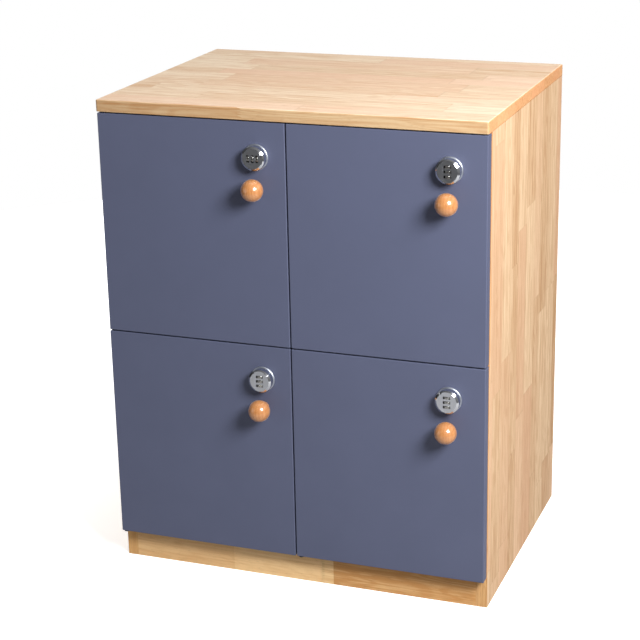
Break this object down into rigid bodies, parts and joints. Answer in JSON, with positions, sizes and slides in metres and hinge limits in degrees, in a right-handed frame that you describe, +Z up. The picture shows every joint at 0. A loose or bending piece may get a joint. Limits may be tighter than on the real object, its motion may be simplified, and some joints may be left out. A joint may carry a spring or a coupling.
{
  "type": "wooden locker cabinet",
  "caption": "Free-standing wooden locker with hinged overlay doors, each with a combination cam lock and a ball knob.",
  "frame": {"origin": "middle of the cabinet's footprint without the locks and knobs, on the floor", "axes": "+X to the right of the doors, +Y to the back, +Z up; the doors face -Y"},
  "size_m": [0.6, 0.4845, 0.75],
  "materials": {
    "rubberwood": "clear matt lacquer",
    "back_board": "plain plywood",
    "beech_dowel": "fluted, unfinished",
    "painted_board": "matt blue-grey paint",
    "varnished_wood": "glossy varnish",
    "lock_chrome": "satin and polished chrome",
    "zinc_steel": "bright zinc plate",
    "black_steel": "blackened steel",
    "nylon": "natural nylon",
    "dial_metal": "nickel plate, black numbers",
    "bumper": "clear silicone"
  },
  "bodies": {
    "carcass": {"top_board": "rubberwood", "left_side_panel": "rubberwood", "right_side_panel": "rubberwood", "centre_partition": "rubberwood", "bottom_panel": "rubberwood", "left_shelf": "rubberwood", "right_shelf": "rubberwood", "back_panel": "back_board", "front_plinth": "rubberwood", "rear_plinth": "rubberwood", "centre_plinth_rail": "rubberwood", "dowels": "beech_dowel", "pivot_brackets": "black_steel", "strike_plates": "zinc_steel", "carcass_screws": "zinc_steel", "door_bumpers": "bumper"},
    "upper_left_door": {"upper_left_door_panel": "painted_board", "upper_left_pivot_bushes": "nylon", "upper_left_knob": "varnished_wood", "upper_left_knob_screw": "zinc_steel", "upper_left_lock_body": "lock_chrome", "upper_left_lock_nut": "zinc_steel"},
    "upper_left_lock_rotor": {"upper_left_lock_head": "lock_chrome", "upper_left_lock_cam": "zinc_steel"},
    "upper_left_dial_1": {"upper_left_dial_1": "dial_metal"},
    "upper_left_dial_2": {"upper_left_dial_2": "dial_metal"},
    "upper_left_dial_3": {"upper_left_dial_3": "dial_metal"},
    "upper_right_door": {"upper_right_door_panel": "painted_board", "upper_right_pivot_bushes": "nylon", "upper_right_knob": "varnished_wood", "upper_right_knob_screw": "zinc_steel", "upper_right_lock_body": "lock_chrome", "upper_right_lock_nut": "zinc_steel"},
    "upper_right_lock_rotor": {"upper_right_lock_head": "lock_chrome", "upper_right_lock_cam": "zinc_steel"},
    "upper_right_dial_1": {"upper_right_dial_1": "dial_metal"},
    "upper_right_dial_2": {"upper_right_dial_2": "dial_metal"},
    "upper_right_dial_3": {"upper_right_dial_3": "dial_metal"},
    "lower_left_door": {"lower_left_door_panel": "painted_board", "lower_left_pivot_bushes": "nylon", "lower_left_knob": "varnished_wood", "lower_left_knob_screw": "zinc_steel", "lower_left_lock_body": "lock_chrome", "lower_left_lock_nut": "zinc_steel"},
    "lower_left_lock_rotor": {"lower_left_lock_head": "lock_chrome", "lower_left_lock_cam": "zinc_steel"},
    "lower_left_dial_1": {"lower_left_dial_1": "dial_metal"},
    "lower_left_dial_2": {"lower_left_dial_2": "dial_metal"},
    "lower_left_dial_3": {"lower_left_dial_3": "dial_metal"},
    "lower_right_door": {"lower_right_door_panel": "painted_board", "lower_right_pivot_bushes": "nylon", "lower_right_knob": "varnished_wood", "lower_right_knob_screw": "zinc_steel", "lower_right_lock_body": "lock_chrome", "lower_right_lock_nut": "zinc_steel"},
    "lower_right_lock_rotor": {"lower_right_lock_head": "lock_chrome", "lower_right_lock_cam": "zinc_steel"},
    "lower_right_dial_1": {"lower_right_dial_1": "dial_metal"},
    "lower_right_dial_2": {"lower_right_dial_2": "dial_metal"},
    "lower_right_dial_3": {"lower_right_dial_3": "dial_metal"}
  },
  "joints": [
    {"name": "upper_left_door_swing", "type": "hinge", "parent": "carcass", "child": "upper_left_door", "pos_m": [-0.293, -0.219, 0.5605], "axis": [0, 0, -1], "range_deg": [0, 105]},
    {"name": "upper_left_lock_turn", "type": "hinge", "parent": "upper_left_door", "child": "upper_left_lock_rotor", "pos_m": [-0.046, -0.224, 0.679], "axis": [0, 1, 0], "range_deg": [0, 90]},
    {"name": "upper_left_dial_1_spin", "type": "hinge", "parent": "upper_left_lock_rotor", "child": "upper_left_dial_1", "pos_m": [-0.0531, -0.2342, 0.679], "axis": [-1, 0, 0], "continuous": true},
    {"name": "upper_left_dial_2_spin", "type": "hinge", "parent": "upper_left_lock_rotor", "child": "upper_left_dial_2", "pos_m": [-0.046, -0.2342, 0.679], "axis": [-1, 0, 0], "continuous": true},
    {"name": "upper_left_dial_3_spin", "type": "hinge", "parent": "upper_left_lock_rotor", "child": "upper_left_dial_3", "pos_m": [-0.0389, -0.2342, 0.679], "axis": [-1, 0, 0], "continuous": true},
    {"name": "upper_right_door_swing", "type": "hinge", "parent": "carcass", "child": "upper_right_door", "pos_m": [0.007, -0.219, 0.5605], "axis": [0, 0, -1], "range_deg": [0, 105]},
    {"name": "upper_right_lock_turn", "type": "hinge", "parent": "upper_right_door", "child": "upper_right_lock_rotor", "pos_m": [0.245, -0.224, 0.679], "axis": [0, 1, 0], "range_deg": [0, 90]},
    {"name": "upper_right_dial_1_spin", "type": "hinge", "parent": "upper_right_lock_rotor", "child": "upper_right_dial_1", "pos_m": [0.245, -0.2342, 0.6861], "axis": [0, 0, 1], "continuous": true},
    {"name": "upper_right_dial_2_spin", "type": "hinge", "parent": "upper_right_lock_rotor", "child": "upper_right_dial_2", "pos_m": [0.245, -0.2342, 0.679], "axis": [0, 0, 1], "continuous": true},
    {"name": "upper_right_dial_3_spin", "type": "hinge", "parent": "upper_right_lock_rotor", "child": "upper_right_dial_3", "pos_m": [0.245, -0.2342, 0.6719], "axis": [0, 0, 1], "continuous": true},
    {"name": "lower_left_door_swing", "type": "hinge", "parent": "carcass", "child": "lower_left_door", "pos_m": [-0.293, -0.219, 0.2195], "axis": [0, 0, -1], "range_deg": [0, 105]},
    {"name": "lower_left_lock_turn", "type": "hinge", "parent": "lower_left_door", "child": "lower_left_lock_rotor", "pos_m": [-0.046, -0.224, 0.338], "axis": [0, 1, 0], "range_deg": [0, 90]},
    {"name": "lower_left_dial_1_spin", "type": "hinge", "parent": "lower_left_lock_rotor", "child": "lower_left_dial_1", "pos_m": [-0.046, -0.2342, 0.3451], "axis": [0, 0, 1], "continuous": true},
    {"name": "lower_left_dial_2_spin", "type": "hinge", "parent": "lower_left_lock_rotor", "child": "lower_left_dial_2", "pos_m": [-0.046, -0.2342, 0.338], "axis": [0, 0, 1], "continuous": true},
    {"name": "lower_left_dial_3_spin", "type": "hinge", "parent": "lower_left_lock_rotor", "child": "lower_left_dial_3", "pos_m": [-0.046, -0.2342, 0.3309], "axis": [0, 0, 1], "continuous": true},
    {"name": "lower_right_door_swing", "type": "hinge", "parent": "carcass", "child": "lower_right_door", "pos_m": [0.007, -0.219, 0.2195], "axis": [0, 0, -1], "range_deg": [0, 105]},
    {"name": "lower_right_lock_turn", "type": "hinge", "parent": "lower_right_door", "child": "lower_right_lock_rotor", "pos_m": [0.245, -0.224, 0.338], "axis": [0, 1, 0], "range_deg": [0, 90]},
    {"name": "lower_right_dial_1_spin", "type": "hinge", "parent": "lower_right_lock_rotor", "child": "lower_right_dial_1", "pos_m": [0.245, -0.2342, 0.3451], "axis": [0, 0, 1], "continuous": true},
    {"name": "lower_right_dial_2_spin", "type": "hinge", "parent": "lower_right_lock_rotor", "child": "lower_right_dial_2", "pos_m": [0.245, -0.2342, 0.338], "axis": [0, 0, 1], "continuous": true},
    {"name": "lower_right_dial_3_spin", "type": "hinge", "parent": "lower_right_lock_rotor", "child": "lower_right_dial_3", "pos_m": [0.245, -0.2342, 0.3309], "axis": [0, 0, 1], "continuous": true}
  ]
}
